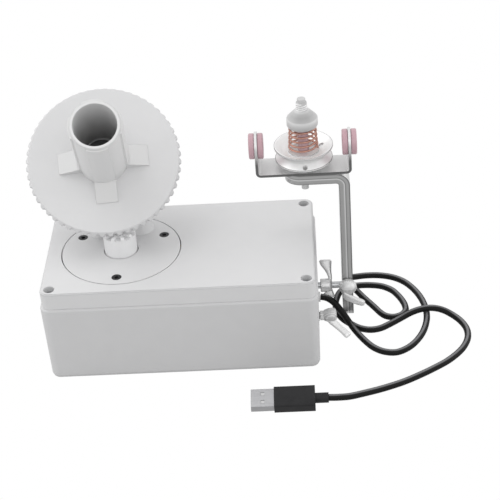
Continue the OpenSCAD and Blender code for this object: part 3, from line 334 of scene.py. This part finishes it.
def stud_with_spring_reflection(name, low, high):
    """A light stud with a painted reflection of the spring, a pink tint between two heights in metres."""
    M[name], t, b = new_material(name)
    height = along_axis(t, object_place(t), "Z")
    above = math_node(t, "GREATER_THAN", height, low)
    spring_reflection_band = math_node(t, "MULTIPLY", above, math_node(t, "LESS_THAN", height, high))
    finish_metal(t, b, blend_colors(t, spring_reflection_band, grey(0.58), (0.6, 0.42, 0.45)), (0.3, 0.4), 0.2)


def lightened_along(name, foot, axis, length, stops):
    """White plastic lightened along an axis as painted light, from its foot over a length in metres."""
    M[name], t, b = new_material(name)
    along = vector_math(t, "DOT_PRODUCT", vector_math(t, "SUBTRACT", object_place(t), foot), axis)
    color = tones(t, math_node(t, "MULTIPLY", along, 1 / length), stops)
    finish_metal(t, b, color, (0.42, 0.55), 0.0, 0.0006)


# The casing takes a darker copy of the lid's white, painted shade for its front faces.
plastic("casing_white", (0.6, 0.6, 0.605), 0.006, (0.45, 0.55), radius=0.0006)
plastic("lid_white", (0.66, 0.66, 0.665), 0.006, (0.45, 0.55), radius=0.0006)
plastic("spool_white", (0.66, 0.66, 0.665), 0.008, (0.42, 0.55), radius=0.0004)
# The post and the sun gear take a lighter copy of the white, painted light that lifts the shade under the
# spool.
plastic("post_white", (0.78, 0.78, 0.785), 0.006, (0.42, 0.55), radius=0.0006)
plastic("gear_plastic", (0.6, 0.58, 0.5))
plastic("black_plastic", (0.02, 0.02, 0.022), 0.005, (0.35, 0.5))
plastic("bush_plastic", (0.45, 0.36, 0.24))
plastic("board_green", (0.03, 0.13, 0.06), 0.015)
plastic("capacitor_blue", (0.03, 0.05, 0.14), 0.01)
plastic("eyelet_pink", (0.53, 0.34, 0.38), 0.01, (0.25, 0.35), radius=0.0005)
plastic("cord_black", (0.012, 0.012, 0.013), 0.004, (0.4, 0.55), 4000.0, 0.0003)
plastic("tongue_plastic", (0.6, 0.6, 0.6), 0.01)
plastic("plug_black", (0.014, 0.014, 0.015), 0.004, (0.5, 0.62), ior=1.35)
metal("black_screws", (0.02, 0.02, 0.022), 0.005, (0.3, 0.5), metallic=0.3)
metal("steel", (0.5, 0.51, 0.52), 0.04)
metal("bright_steel", grey(0.62), 0.03, (0.18, 0.3))
# The bracket, disc and lever metals have painted shade along their edges.
metal("bracket_metal", (0.4, 0.405, 0.41), 0.02, (0.3, 0.42), (1.0, 1.0, 0.06), 0.0006,
      edge_shade=(0.0011, 0.16))
metal("dark_steel", grey(0.1), 0.01, (0.45, 0.55))
metal("brass", (0.6, 0.45, 0.2))
metal("spring_copper", (0.46, 0.25, 0.2), 0.04, (0.25, 0.38))
metal("disc_metal", grey(0.88), 0.01, (0.4, 0.5), metallic=0.55, edge_shade=(0.0009, 0.12))
metal("lever_grey", grey(0.74), 0.04, (0.36, 0.5), metallic=0.6, edge_shade=(0.0005, 0.3))
metal("shell_metal", (0.4, 0.4, 0.41), 0.03, (0.34, 0.44), (0.1, 1.0, 1.0))
metal("thread_light", grey(0.85), 0.02, (0.3, 0.4), metallic=0.4)
# The cord's skin has a painted highlight along the parts that face up.
skin_with_painted_streak("cord_skin", 0.003, 0.2, 0.86, 1.0)

# The spool's axis starts where it meets the toothed disc
SPOOL_FOOT = (-0.0419, 0.0246, 0.104)
SPOOL_AXIS = (0.07386, -0.65849, 0.74896)
SPOOL_LENGTH = 0.07
# Painted light: the core is lighter than the spool's own white from a fifth of its length onwards.
lightened_along("core_white", SPOOL_FOOT, SPOOL_AXIS, SPOOL_LENGTH, [
    (0.0, 0.65), (0.1, 0.66), (0.2, 0.71), (1.0, 0.72)])

# The bar's painted bands of highlight and shade, by their distance in metres from the centre of its bend
BEND_CENTRE = (0.0917, 0.0, 0.0945)
BAND_NEAR, BAND_FAR = 0.0018, 0.008
bent_bar_sheen_metal("bar_metal", BEND_CENTRE, BAND_NEAR, BAND_FAR, [
    (0.0, 0.2), (0.1, 0.4), (0.38, 0.42), (0.46, 0.68), (0.51, 0.68), (0.58, 0.2), (0.66, 0.44),
    (0.86, 0.43), (0.95, 0.16), (1.0, 0.16)], 0.76)

eyelet_low, eyelet_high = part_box("eyelet_left")
# The plate's cut edges are painted dark below the eyelets and light above them, as shade and light.
thin_sheet_metal("plate_metal", 0.7, eyelet_low[2], eyelet_high[2], [
    (0.0, 0.12), (0.4, 0.5), (0.8, 0.75)], (0.35, 0.45))

knob_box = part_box("tension_knob")
# The knob's painted light and shade by height: dark low on its wall, a highlight at the shoulder, darker in the
# cone, light on top.
painted_height_shading("knob_grey", knob_box[0][2], knob_box[1][2], [
    (0.0, 0.3), (0.08, 0.36), (0.25, 0.46), (0.42, 0.6), (0.5, 0.64), (0.56, 0.42), (0.75, 0.35),
    (0.9, 0.42), (1.0, 0.6)], 0.6)

FLUTE_PITCH, FLUTES_TOP, HUB_FLUTE_PITCH = 0.0008, 0.0258, 0.0009
# The cap's and the hub's flutes are painted as dark stripes, the shade in their grooves.
shade_striped("cap_metal", "X", FLUTE_PITCH, 0.72, 0.38, FLUTES_TOP)
shade_striped("hub_metal", "Y", HUB_FLUTE_PITCH, 0.68, 0.5)

# The stud has a painted pink reflection of the spring between the plate's top and the knob.
PLATE_TOP = 0.104
stud_with_spring_reflection("stud_plastic", PLATE_TOP, knob_box[0][2])

slot_of = {s["node"]: s["material_slot"] for s in frame["record"]["subparts"]}
special = {
    # The post and the sun gear take the lighter post white as painted light.
    "casing_lid": "lid_white", "spool_core": "core_white", "centre_post": "post_white",
    "sun_gear": "post_white", "guide_plate": "plate_metal", "guide_bar": "bar_metal",
    # The spindle washer's dark steel is painted shade at the bottom of the bore.
    "pressure_washer": "disc_metal", "spindle_washer": "dark_steel",
    "spindle_screw": "dark_steel", "wall_inserts": "dark_steel", "plug_body": "plug_black",
    "plug_shell": "shell_metal", "tension_stud": "stud_plastic", "tension_knob": "knob_grey",
    "lever_nut": "lever_grey", "lever_screw_bar": "lever_grey", "lever_screw_wall": "lever_grey",
}


def paint(obj, material):
    obj.data.materials.clear()
    obj.data.materials.append(material)


for name, obj in nodes.items():
    paint(obj, M[special.get(name, slot_of[name])])


def link(obj):
    bpy.context.scene.collection.objects.link(obj)
    return obj


# Smooth curves through given points

def smooth_point(a, b, c, d, t):
    return 0.5 * (2 * b + (c - a) * t + (2 * a - 5 * b + 4 * c - d) * t * t
                  + (3 * b - 3 * c + d - a) * t * t * t)


def smooth_path(points, steps):
    p = [Vector(q) for q in points]
    out = []
    for i in range(len(p) - 1):
        for k in range(steps):
            out.append(smooth_point(p[max(i - 1, 0)], p[i], p[i + 1], p[min(i + 2, len(p) - 1)],
                                    k / steps))
    out.append(p[-1])
    return out


def wire(name, path, radius, material, sides=6):
    """A round wire along a path in metres, as a curve with closed ends."""
    curve = bpy.data.curves.new(name, "CURVE")
    curve.dimensions = "3D"
    curve.bevel_depth = radius
    curve.bevel_resolution = sides
    curve.use_fill_caps = True
    spline = curve.splines.new("POLY")
    spline.points.add(len(path) - 1)
    for q, p in zip(spline.points, path):
        q.co = (*p, 1.0)
    spline.use_smooth = True
    curve.materials.append(material)
    return link(bpy.data.objects.new(name, curve))


# The cord, on the same points as its solid, in millimetres
CORD_D, CORD_STEPS, MM_PER_M = 0.0039, 6, 1000
CORD = [
    (80, -1, 19), (84, -1.6, 18.2), (87.9, -3.3, 16), (91.3, -5.8, 12.7), (94, -7.9, 9.3),
    (96.7, -11.2, 6.3), (100, -16.3, 4), (104.5, -23.3, 2.6), (109.5, -30.1, 2.1), (115.5, -34.6, 2.1),
    (122.5, -35.8, 2.1), (129, -32.6, 2.1), (134.5, -26.8, 2.1), (139.2, -18.5, 2.1), (142.2, -9, 2.1),
    (143.3, 0, 2.1), (142.7, 9, 2.1), (140.6, 18, 2.1), (137, 26.6, 2.1), (132, 34, 2.1),
    (125.5, 39, 2.1), (117.5, 41.7, 2.1), (109.5, 42.2, 2.1), (103.2, 40.2, 3), (99.1, 36.9, 4.7),
    (97.5, 32, 6), (99, 27.1, 6), (102.4, 23.2, 4.6), (106.4, 18, 3), (110.7, 11.8, 2.2),
    (113.3, 7.4, 2.1), (115.9, 2.8, 2.1), (119.2, -0.7, 2.1), (123.9, -1.8, 2.1), (128.3, 0.1, 2.1),
    (130.9, 4.1, 2.1), (131, 9, 2.1), (129.7, 14.4, 2.1), (127.4, 20, 2.1), (124, 25.6, 2.1),
    (118.4, 29.9, 2.1), (111.8, 31.7, 2.1), (104.8, 32, 2.1), (98, 30.8, 2.1), (92.8, 26.6, 2.1),
    (90.2, 20, 2.1), (89.2, 13, 2.1), (89.7, 6, 2.1), (92.5, -0.8, 2.1), (97, -6.3, 2.1),
    (102.4, -11.1, 2.1), (108.5, -13.3, 2.1), (114.8, -12.4, 2.2), (121, -8.9, 2.6), (127.5, -5, 3.5),
    (134.2, -2, 5.2), (140.6, -0.3, 6.1), (146.6, 0.2, 6.1), (152.6, -0.3, 4.7), (158.2, -3, 2.8),
    (162.6, -8.4, 2.1), (165.3, -16, 2.1), (165.3, -24, 2.1), (162.6, -31.9, 2.1), (158, -38.8, 2.1),
    (151.4, -45.6, 2.1), (143.6, -51.4, 2.1), (135, -57, 2.1), (124.8, -62.8, 2.1),
    (113.2, -67.7, 2.1), (102.6, -71.4, 2.3), (94, -74.8, 3.2), (87.5, -77, 4.7), (82, -77.5, 5.3),
]
cord_path = [p / MM_PER_M for p in smooth_path(CORD, CORD_STEPS)]
cord = wire("cord_tube", cord_path, CORD_D / 2, M["cord_skin"])
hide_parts("usb_cord")
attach(cord, "casing")


# Turned and lofted detail pieces, in millimetres in the CAD frame

def mesh_object(name, verts, faces, material, sharp):
    mesh = bpy.data.meshes.new(name)
    mesh.from_pydata([tuple(v) for v in verts], [], faces)
    mesh.validate()
    bm = bmesh.new()
    bm.from_mesh(mesh)
    bmesh.ops.recalc_face_normals(bm, faces=bm.faces)
    bm.to_mesh(mesh)
    bm.free()
    mesh.shade_smooth()
    mesh.set_sharp_from_angle(angle=math.radians(sharp))
    obj = link(bpy.data.objects.new(name, mesh))
    paint(obj, material)
    return obj


def angles(count):
    return [2 * math.pi * k / count for k in range(count)]


def ringed(name, rings, material, sharp):
    """A form through rings of points in metres, all with the same number of points, closed at its ends."""
    sides, n = len(rings[0]), len(rings)
    faces = []
    for i in range(n - 1):
        for k in range(sides):
            k2 = (k + 1) % sides
            faces.append((i * sides + k, i * sides + k2, (i + 1) * sides + k2, (i + 1) * sides + k))
    faces.append(tuple(range(sides)))
    faces.append(tuple((n - 1) * sides + k for k in range(sides)))
    return mesh_object(name, [p for ring in rings for p in ring], faces, material, sharp)


def turned(name, profile, at, axis, material, sides=96, sharp=35.0):
    """A lathe form: profile holds (radius, distance along the axis) in mm."""
    w = Vector(axis).normalized()
    u = w.orthogonal().normalized()
    v = w.cross(u)
    rings = [[(Vector(at) + w * h + (u * math.cos(a) + v * math.sin(a)) * r) * MM for a in angles(sides)]
             for r, h in profile]
    return ringed(name, rings, material, sharp)


BLADE_SIDES, BLADE_SQUARENESS = 24, 0.7


def squared(value):
    return math.copysign(abs(value) ** BLADE_SQUARENESS, value)


def lofted(name, stations, material):
    """A blade: each station holds its centre and its two half axes in mm."""
    rings = [[(Vector(c) + Vector(wide) * squared(math.cos(a)) + Vector(thick) * squared(math.sin(a))) * MM
              for a in angles(BLADE_SIDES)] for c, wide, thick in stations]
    return ringed(name, rings, material, 60.0)


TUBE_SIDES = 12


def tube(name, path, radius, material):
    """A round wire along a path in metres, as a mesh with flat ends."""
    rings = []
    side = None
    for i, p in enumerate(path):
        ahead = (path[min(i + 1, len(path) - 1)] - path[max(i - 1, 0)]).normalized()
        side = ahead.orthogonal() if side is None else side - ahead * side.dot(ahead)
        side.normalize()
        other = ahead.cross(side)
        rings.append([p + (side * math.cos(a) + other * math.sin(a)) * radius
                      for a in angles(TUBE_SIDES)])
    return ringed(name, rings, material, 60.0)


def smooth_stations(rows, steps=6):
    """Rows of numbers, smoothed along their length, as a list of tuples."""
    columns = len(rows[0])
    out = []
    for i in range(len(rows) - 1):
        for k in range(steps):
            out.append(tuple(smooth_point(rows[max(i - 1, 0)][c], rows[i][c], rows[i + 1][c],
                                          rows[min(i + 2, len(rows) - 1)][c], k / steps)
                             for c in range(columns)))
    out.append(tuple(rows[-1]))
    return out


def middle(name):
    low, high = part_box(name)
    return (Vector(low) + Vector(high)) / 2 / MM


# Tension unit: the stud's axis and heights come from the CAD nodes
stud = middle("tension_stud")
knob_low = knob_box[0][2] / MM
knob_top = knob_box[1][2] / MM
stud_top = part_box("tension_stud")[1][2] / MM
washer_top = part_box("pressure_washer")[1][2] / MM

SPRING_LOW_R, SPRING_TOP_R, SPRING_WIRE, SPRING_CURLS, SPRING_STEPS = 8.2, 7.4, 1.1, 5, 36
spring_path = []
spring_rise = knob_low - washer_top - SPRING_WIRE
for i in range(SPRING_CURLS * SPRING_STEPS + 1):
    f = i / (SPRING_CURLS * SPRING_STEPS)
    a = 2 * math.pi * i / SPRING_STEPS
    r = SPRING_LOW_R + (SPRING_TOP_R - SPRING_LOW_R) * f
    spring_path.append(Vector((stud.x + r * math.cos(a), stud.y + r * math.sin(a),
                               washer_top + SPRING_WIRE / 2 + spring_rise * f)) * MM)
spring = tube("spring_wire", spring_path, SPRING_WIRE / 2 * MM, M["spring_copper"])
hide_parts("tension_spring")
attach(spring, "guide")
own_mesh(spring)

KNOB_R, KNOB_BORE_R = 8.8, 3.04
knob = turned("knob_turned", [
    (KNOB_BORE_R, 0), (KNOB_R - 1.3, 0), (KNOB_R - 0.4, 0.35), (KNOB_R, 1.1), (KNOB_R, 4.8),
    (KNOB_R - 0.25, 5.35), (4.7, 9.4), (4.1, 9.95), (3.6, 10.25), (KNOB_BORE_R, 10.3)],
    (stud.x, stud.y, knob_low), (0, 0, 1), M["knob_grey"], sharp=25.0)
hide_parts("tension_knob")
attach(knob, "knob")

STUD_R, NIB, THREAD_PITCH, THREAD_STEPS, THREAD_WIRE_R = 3.0, 2.2, 1.25, 32, 0.36
thread_r = STUD_R - 0.1
thread_low, thread_top = knob_top - 0.6, stud_top - NIB - 0.4
thread_path = []
for i in range(int((thread_top - thread_low) / THREAD_PITCH * THREAD_STEPS) + 1):
    a = 2 * math.pi * i / THREAD_STEPS
    thread_path.append(Vector((stud.x + thread_r * math.cos(a), stud.y + thread_r * math.sin(a),
                               thread_low + THREAD_PITCH * i / THREAD_STEPS)) * MM)
thread = wire("stud_thread", thread_path, THREAD_WIRE_R * MM, M["thread_light"], sides=3)
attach(thread, "guide")


# Side fittings: hubs on the axes of their CAD nodes, with cast levers

def lever_piece(node, body, parts):
    """Puts parts, of which the first carries the others, in the place of a node."""
    main = parts[0]
    for p in parts[1:]:
        p.parent = main
    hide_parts(node)
    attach(main, body)


def radial_blade(name, axis_y, axis_z, direction, rows, tilt=0.0):
    """Rows of (reach, middle along X, half width along X, half thickness), outward from an X axis."""
    dy, dz = direction
    out = []
    for reach, x, half, thick in smooth_stations(rows):
        centre = (x, axis_y + dy * reach, axis_z + dz * reach)
        out.append((centre, (half, -dy * half * tilt, -dz * half * tilt), (0, -dz * thick, dy * thick)))
    return lofted(name, out, M["lever_grey"])


SIDE_Z, STUD_Y, SCREW_Y = 19.0, 10.5, -19.5
NUT_TURN, WALL_TURN = math.radians(34), math.radians(48)
nut_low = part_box("lever_nut")[0][0] / MM
NUT_HUB = [(2.03, 0), (3.7, 0), (4.0, 0.4), (4.0, 5.2), (3.6, 6.4), (2.9, 7.0), (2.03, 7.0)]
up_dir = (math.sin(NUT_TURN), math.cos(NUT_TURN))
down_dir = (-up_dir[0], -up_dir[1])
lever_piece("lever_nut", "lever_nut", [
    turned("nut_hub", NUT_HUB, (nut_low, STUD_Y, SIDE_Z), (1, 0, 0), M["lever_grey"], 64),
    radial_blade("nut_blade", STUD_Y, SIDE_Z, up_dir, [
        (2.4, nut_low + 5.9, 1.0, 1.3), (5.0, nut_low + 5.9, 1.2, 1.2), (8.6, nut_low + 5.0, 1.9, 1.2),
        (12.0, nut_low + 3.9, 3.2, 1.3), (14.2, nut_low + 3.6, 3.7, 1.3), (15.1, nut_low + 3.5, 3.2, 0.9),
        (15.4, nut_low + 3.5, 2.4, 0.4)]),
    radial_blade("nut_wing", STUD_Y, SIDE_Z, down_dir, [
        (2.4, nut_low + 5.7, 1.2, 1.3), (4.4, nut_low + 5.0, 2.6, 1.2), (6.2, nut_low + 4.2, 4.0, 1.2),
        (7.1, nut_low + 4.0, 4.2, 0.9), (7.5, nut_low + 4.0, 3.6, 0.4)]),
])

WALL_HUB_X = 81.7
wall_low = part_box("lever_screw_wall")[0][0] / MM
out_dir = (-math.sin(WALL_TURN), -math.cos(WALL_TURN))
lever_piece("lever_screw_wall", "lever_screw_wall", [
    turned("wall_hub", [
        (0.2, wall_low - WALL_HUB_X), (2.0, wall_low - WALL_HUB_X), (2.0, -2.4), (2.8, -2.3),
        (2.8, -0.2), (3.3, 0.3), (4.1, 2.6), (4.3, 4.6), (4.1, 6.0), (3.4, 6.9), (2.0, 7.3), (0.2, 7.4)],
        (WALL_HUB_X, SCREW_Y, SIDE_Z), (1, 0, 0), M["hub_metal"], 64),
    radial_blade("wall_lever", SCREW_Y, SIDE_Z, out_dir, [
        (1.0, WALL_HUB_X + 2.6, 1.8, 1.5), (4.0, WALL_HUB_X + 4.9, 1.7, 1.4),
        (7.0, WALL_HUB_X + 7.9, 1.5, 1.3), (10.0, WALL_HUB_X + 11.0, 1.5, 1.3),
        (12.0, WALL_HUB_X + 12.9, 1.6, 1.4), (12.9, WALL_HUB_X + 13.6, 1.3, 1.0),
        (13.2, WALL_HUB_X + 13.8, 0.7, 0.4)], tilt=0.8),
])

SHANK_L, BAR_SCREW_Z = 5.15, 25.2
slide_low, slide_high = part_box("slide_block")
bar_screw_x = (slide_low[0] + slide_high[0]) / 2 / MM
ring_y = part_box("lever_screw_bar")[1][1] / MM - SHANK_L
bar_stations = []
for x, y, z, half, thick in smooth_stations([
        (93.6, ring_y - 4.6, 22.2, 2.2, 1.4), (95.4, ring_y - 5.6, 21.0, 2.4, 1.6),
        (98.2, ring_y - 6.8, 20.1, 2.4, 1.7), (101.4, ring_y - 8.0, 19.2, 2.3, 1.7),
        (104.4, ring_y - 8.9, 18.5, 2.1, 1.6), (105.6, ring_y - 9.2, 18.3, 1.6, 1.2),
        (106.0, ring_y - 9.3, 18.2, 0.8, 0.5)]):
    bar_stations.append(((x, y, z), (0.25 * half, 0.0, 0.95 * half), (0.1 * thick, -0.95 * thick, 0.1 * thick)))
lever_piece("lever_screw_bar", "lever_screw_bar", [
    turned("bar_hub", [
        (0.2, -SHANK_L), (2.0, -SHANK_L), (2.0, 0.0), (4.6, 0.0), (4.8, 3.0), (4.3, 3.5), (4.0, 4.4),
        (3.4, 5.3), (2.2, 5.8), (0.2, 6.0)],
        (bar_screw_x, ring_y, BAR_SCREW_Z), (0, -1, 0), M["cap_metal"], 64),
    lofted("bar_lever", bar_stations, M["lever_grey"]),
])
KNURLS, KNURL_R, KNURL_DEPTH = 26, 5.0, 0.18
knurl_rings = []
for h, r in ((0.2, KNURL_R - 0.4), (0.6, KNURL_R), (2.6, KNURL_R), (3.0, KNURL_R - 0.4)):
    ring = []
    for k, a in enumerate(angles(KNURLS * 4)):
        rr = r + (KNURL_DEPTH if k % 4 in (0, 1) else -KNURL_DEPTH)
        ring.append(Vector((bar_screw_x + rr * math.cos(a), ring_y - h, BAR_SCREW_Z + rr * math.sin(a))) * MM)
    knurl_rings.append(ring)
knurl = ringed("bar_knurl", knurl_rings, M["lever_grey"], 30.0)
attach(knurl, "lever_screw_bar")


# Floor, backdrop and light

def by_ray(t, seen, mirrored, other):
    """One shader for what the camera sees, one for reflections and one for all other light."""
    path = t.nodes.new("ShaderNodeLightPath")
    out = other
    for ray, shader in (("Is Glossy Ray", mirrored), ("Is Camera Ray", seen)):
        mix = t.nodes.new("ShaderNodeMixShader")
        t.links.new(path.outputs[ray], mix.inputs["Fac"])
        t.links.new(out, mix.inputs[1])
        t.links.new(shader, mix.inputs[2])
        out = mix.outputs[0]
    return out


def plain_shader(t, kind, tone, strength=None):
    shader = t.nodes.new(kind)
    shader.inputs["Color"].default_value = (*grey(tone), 1.0)
    if strength is not None:
        shader.inputs["Strength"].default_value = strength
    return shader.outputs[0]


FLOOR_HALF, FLOOR_MIRRORED, FLOOR_TONE, WORLD_LIGHT = 4, 0.78, 0.6, 0.8

floor_mesh = bpy.data.meshes.new("floor")
floor_mesh.from_pydata([(x * FLOOR_HALF, y * FLOOR_HALF, 0) for x, y in ((-1, -1), (1, -1), (1, 1), (-1, 1))],
                       [], [(0, 1, 2, 3)])
floor = link(bpy.data.objects.new("floor", floor_mesh))
floor_mat = bpy.data.materials.new("floor")
floor_mat.use_nodes = True
ft = floor_mat.node_tree
ft.nodes.clear()
floor_out = ft.nodes.new("ShaderNodeOutputMaterial")
floor_shader = by_ray(ft, plain_shader(ft, "ShaderNodeEmission", 1.0),
                      plain_shader(ft, "ShaderNodeEmission", FLOOR_MIRRORED),
                      plain_shader(ft, "ShaderNodeBsdfDiffuse", FLOOR_TONE))
ft.links.new(floor_shader, floor_out.inputs["Surface"])
paint(floor, floor_mat)

world = bpy.data.worlds.new("world")
bpy.context.scene.world = world
world.use_nodes = True
wt = world.node_tree
wt.nodes.clear()
world_out = wt.nodes.new("ShaderNodeOutputWorld")
white = plain_shader(wt, "ShaderNodeBackground", 1.0, 1.0)
world_shader = by_ray(wt, white, white, plain_shader(wt, "ShaderNodeBackground", 1.0, WORLD_LIGHT))
wt.links.new(world_shader, world_out.inputs["Surface"])


def area(name, at, aim_height, size, power):
    """A round light that looks at a height in metres above the frame's origin."""
    data = bpy.data.lights.new(name, "AREA")
    data.shape = "DISK"
    data.size = size
    data.energy = power
    obj = link(bpy.data.objects.new(name, data))
    obj.location = at
    aim = Vector((0, 0, aim_height))
    obj.rotation_euler = (aim - Vector(at)).to_track_quat("-Z", "Y").to_euler()


area("key", (-0.8, 0.45, 1.4), 0.05, 1.6, 8.0)
area("front", (0.5, -1.3, 1.0), 0.05, 1.4, 4.0)
area("left_fill", (-1.2, -0.1, 0.45), 0.1, 1.0, 2.5)
area("right_fill", (1.2, 0.1, 0.45), 0.1, 1.0, 2.5)

scene = bpy.context.scene
scene.view_settings.view_transform = "Standard"
scene.view_settings.look = "None"
scene.view_settings.exposure = 0.0
scene.view_settings.gamma = 1.0
